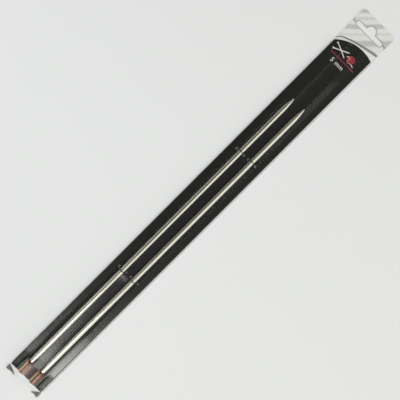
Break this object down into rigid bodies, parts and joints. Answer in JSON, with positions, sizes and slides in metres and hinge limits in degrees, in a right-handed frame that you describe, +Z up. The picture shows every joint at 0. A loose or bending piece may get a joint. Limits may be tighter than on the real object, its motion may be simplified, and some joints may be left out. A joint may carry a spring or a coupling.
{
  "type": "straight knitting needles",
  "caption": "Pair of straight metal knitting needles with laminated-wood knobs, thread-tied to a card that slides out of a clear hanging pouch.",
  "frame": {"origin": "middle of the pack's underside, on the surface it lies on", "axes": "+X along the needles from the knobs to the points, +Y across the card to the side of needle 1, +Z up out of the card's printed face"},
  "size_m": [0.4688, 0.04, 0.0136],
  "materials": {
    "plated_tube": "bright nickel plate",
    "veneer_green": "dyed, lacquered",
    "veneer_cream": "dyed, lacquered",
    "veneer_red": "dyed, lacquered",
    "veneer_orange": "dyed, lacquered",
    "veneer_brown": "dyed, lacquered",
    "veneer_maroon": "dyed, lacquered",
    "card_print": "black, satin coated",
    "card_back": "black, uncoated",
    "thread": "black twisted thread",
    "film": "clear gloss film",
    "header_film": "thick clear film, glossy"
  },
  "bodies": {
    "pouch": {"pouch_back": "film", "pouch_front": "film", "header_tab": "header_film"},
    "card": {"card_front": "card_print", "card_back": "card_back", "tie_1": "thread", "tie_2": "thread", "tie_3": "thread", "tie_4": "thread"},
    "needle_1": {"needle_1_shaft": "plated_tube", "needle_1_knob_veneer_1": "veneer_brown", "needle_1_knob_veneer_2": "veneer_red", "needle_1_knob_veneer_3": "veneer_orange", "needle_1_knob_veneer_4": "veneer_green", "needle_1_knob_veneer_5": "veneer_red", "needle_1_knob_veneer_6": "veneer_cream", "needle_1_knob_veneer_7": "veneer_green"},
    "needle_2": {"needle_2_shaft": "plated_tube", "needle_2_knob_veneer_1": "veneer_green", "needle_2_knob_veneer_2": "veneer_red", "needle_2_knob_veneer_3": "veneer_orange", "needle_2_knob_veneer_4": "veneer_green", "needle_2_knob_veneer_5": "veneer_cream", "needle_2_knob_veneer_6": "veneer_brown", "needle_2_knob_veneer_7": "veneer_maroon"}
  },
  "joints": [
    {"name": "card_slide", "type": "slide", "parent": "pouch", "child": "card", "axis": [-1, 0, 0], "range_m": [0, 0.44], "deforming": ["pouch_front"]},
    {"name": "needle_1_slide", "type": "slide", "parent": "card", "child": "needle_1", "axis": [-1, 0, 0.0085], "range_m": [0, 0.365]},
    {"name": "needle_2_slide", "type": "slide", "parent": "card", "child": "needle_2", "axis": [-1, 0, 0.0085], "range_m": [0, 0.365]}
  ]
}
